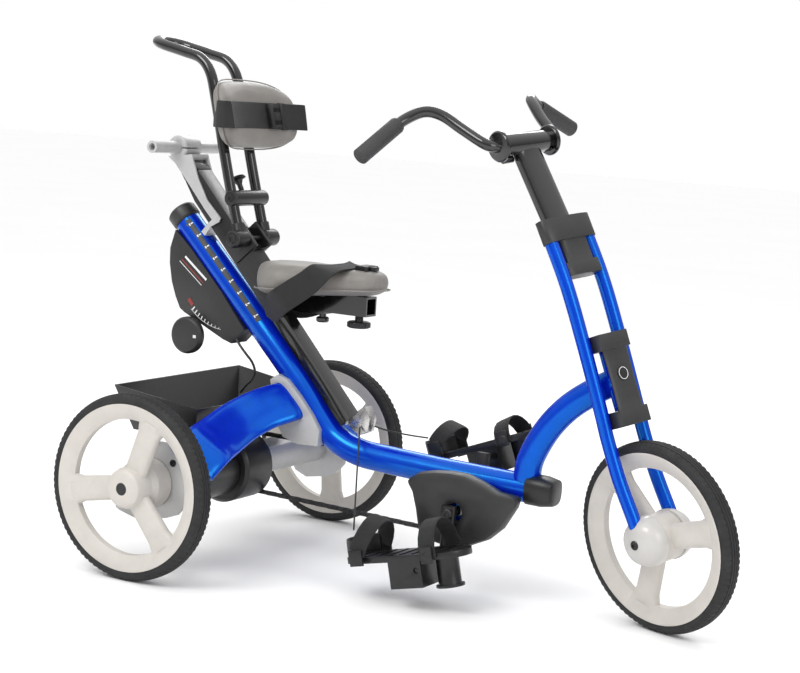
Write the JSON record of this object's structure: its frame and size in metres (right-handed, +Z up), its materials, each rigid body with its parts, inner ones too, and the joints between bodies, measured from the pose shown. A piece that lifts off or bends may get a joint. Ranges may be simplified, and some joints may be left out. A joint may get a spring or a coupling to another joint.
{
  "type": "adaptive tricycle",
  "caption": "Low adaptive tricycle with a sloping seat rail, padded backrest with push bar, footplates with straps, rear basket and raised handlebar.",
  "frame": {"origin": "on the ground, under the middle of the tricycle's bounding box", "axes": "+X to the front wheel, +Y to the rider's left, +Z up; the front wheel stands turned to the rider's right"},
  "size_m": [1.1538, 0.6604, 0.885],
  "materials": {
    "blue_paint": "gloss",
    "rim_plastic": "satin",
    "tyre_rubber": "matte",
    "grey_plastic": "satin",
    "black_plastic": "satin",
    "black_tube": "gloss",
    "light_casting": "satin",
    "silver_metal": "satin",
    "dark_steel": "satin",
    "pad_foam": "matte",
    "webbing": "matte",
    "grip_rubber": "matte",
    "light_plastic": "gloss"
  },
  "bodies": {
    "frame": {"main_frame": "blue_paint", "main_tube_cap": "grey_plastic", "boom_end_cap": "black_plastic", "seat_rail": "black_tube", "rail_head": "light_casting", "cross_tube": "light_casting", "arch_collar": "light_casting", "rear_arch": "blue_paint", "right_axle_plate": "light_casting", "left_axle_plate": "light_casting", "axle_housing": "black_plastic", "basket": "black_plastic", "brake_cable": "black_plastic", "brake_housing": "grey_plastic", "chain": "dark_steel", "chain_case": "grey_plastic", "pulley_block": "silver_metal", "right_pedal_cord": "black_plastic", "left_pedal_cord": "black_plastic"},
    "drive_axle": {"rear_axle": "silver_metal", "rear_right_tyre": "tyre_rubber", "rear_right_rim": "rim_plastic"},
    "left_wheel": {"rear_left_tyre": "tyre_rubber", "rear_left_rim": "rim_plastic"},
    "crank": {"crank_spindle": "silver_metal", "right_crank_arm": "black_plastic", "left_crank_arm": "black_plastic"},
    "right_pedal": {"right_footplate": "black_plastic", "right_heel_strap": "webbing", "right_toe_strap": "webbing"},
    "left_pedal": {"left_footplate": "black_plastic", "left_heel_strap": "webbing", "left_toe_strap": "webbing"},
    "brake_dial": {"brake_knob": "grey_plastic"},
    "seat": {"seat_carriage": "black_plastic", "seat_beam": "black_tube", "seat_pad": "pad_foam", "hip_belt": "webbing", "hip_belt_buckle": "black_plastic"},
    "receiver_screw": {"receiver_knob": "black_plastic"},
    "backrest": {"push_bar": "black_tube", "recline_pivot": "black_plastic", "backrest_clamp": "black_plastic"},
    "clamp_screw": {"clamp_knob": "black_plastic"},
    "back_support": {"back_pad": "pad_foam", "pad_bracket": "black_plastic", "chest_strap": "webbing", "chest_buckle": "black_plastic"},
    "steering": {"right_fork_leg": "blue_paint", "left_fork_leg": "blue_paint", "right_hub_dome": "light_plastic", "left_hub_dome": "light_plastic", "fork_crown": "grey_plastic", "stem_clamp": "grey_plastic", "stem": "black_tube"},
    "front_wheel": {"front_tyre": "tyre_rubber", "front_rim": "rim_plastic"},
    "handlebar_body": {"handlebar": "black_tube", "right_grip": "grip_rubber", "left_grip": "grip_rubber"}
  },
  "joints": [
    {"name": "drive_axle_spin", "type": "hinge", "parent": "frame", "child": "drive_axle", "pos_m": [-0.35975, 0, 0.1525], "axis": [0, 1, 0], "continuous": true},
    {"name": "left_wheel_spin", "type": "hinge", "parent": "frame", "child": "left_wheel", "pos_m": [-0.35975, 0.3, 0.1525], "axis": [0, 1, 0], "continuous": true},
    {"name": "crank_spin", "type": "hinge", "parent": "frame", "child": "crank", "pos_m": [0.09525, 0, 0.144], "axis": [0, 1, 0], "continuous": true, "deforming": ["right_pedal_cord", "left_pedal_cord"]},
    {"name": "right_pedal_spin", "type": "hinge", "parent": "crank", "child": "right_pedal", "pos_m": [0.09525, -0.1235, 0.069], "axis": [0, 1, 0], "continuous": true},
    {"name": "left_pedal_spin", "type": "hinge", "parent": "crank", "child": "left_pedal", "pos_m": [0.09525, 0.1235, 0.219], "axis": [0, 1, 0], "continuous": true},
    {"name": "brake_dial_turn", "type": "hinge", "parent": "frame", "child": "brake_dial", "pos_m": [-0.45975, -0.03, 0.368], "axis": [0, 1, 0], "range_deg": [-60, 60]},
    {"name": "steering_turn", "type": "hinge", "parent": "frame", "child": "steering", "pos_m": [0.43125, 0, 0.15173], "axis": [-0.3665, 0, 0.9304], "range_deg": [-9.3, 50.7]},
    {"name": "front_wheel_spin", "type": "hinge", "parent": "steering", "child": "front_wheel", "pos_m": [0.43125, 0, 0.15173], "axis": [0.3289, 0.9354, 0.1295], "continuous": true},
    {"name": "handlebar_tilt", "type": "hinge", "parent": "steering", "child": "handlebar_body", "pos_m": [0.14364, 0.01935, 0.7422], "axis": [0.3289, 0.9354, 0.1295], "range_deg": [-25, 25]},
    {"name": "seat_slide", "type": "slide", "parent": "frame", "child": "seat", "axis": [0.6743, 0, -0.7385], "range_m": [0, 0.18]},
    {"name": "receiver_knob_turn", "type": "hinge", "parent": "seat", "child": "receiver_screw", "pos_m": [-0.13175, 0, 0.425], "axis": [0, 0, 1], "continuous": true},
    {"name": "backrest_recline", "type": "hinge", "parent": "seat", "child": "backrest", "pos_m": [-0.35425, 0, 0.5465], "axis": [0, 1, 0], "range_deg": [-10, 15]},
    {"name": "clamp_knob_turn", "type": "hinge", "parent": "backrest", "child": "clamp_screw", "pos_m": [-0.37135, -0.008, 0.6145], "axis": [-0.45, 0, 0.893], "continuous": true},
    {"name": "back_pad_slide", "type": "slide", "parent": "backrest", "child": "back_support", "axis": [-0.2517, 0, 0.9678], "range_m": [-0.025, 0.01]}
  ],
  "couplings": [
    {"joint": "crank_spin", "follows": "drive_axle_spin", "ratio": 0.91667},
    {"joint": "right_pedal_spin", "follows": "drive_axle_spin", "ratio": -0.91667},
    {"joint": "left_pedal_spin", "follows": "drive_axle_spin", "ratio": -0.91667}
  ]
}
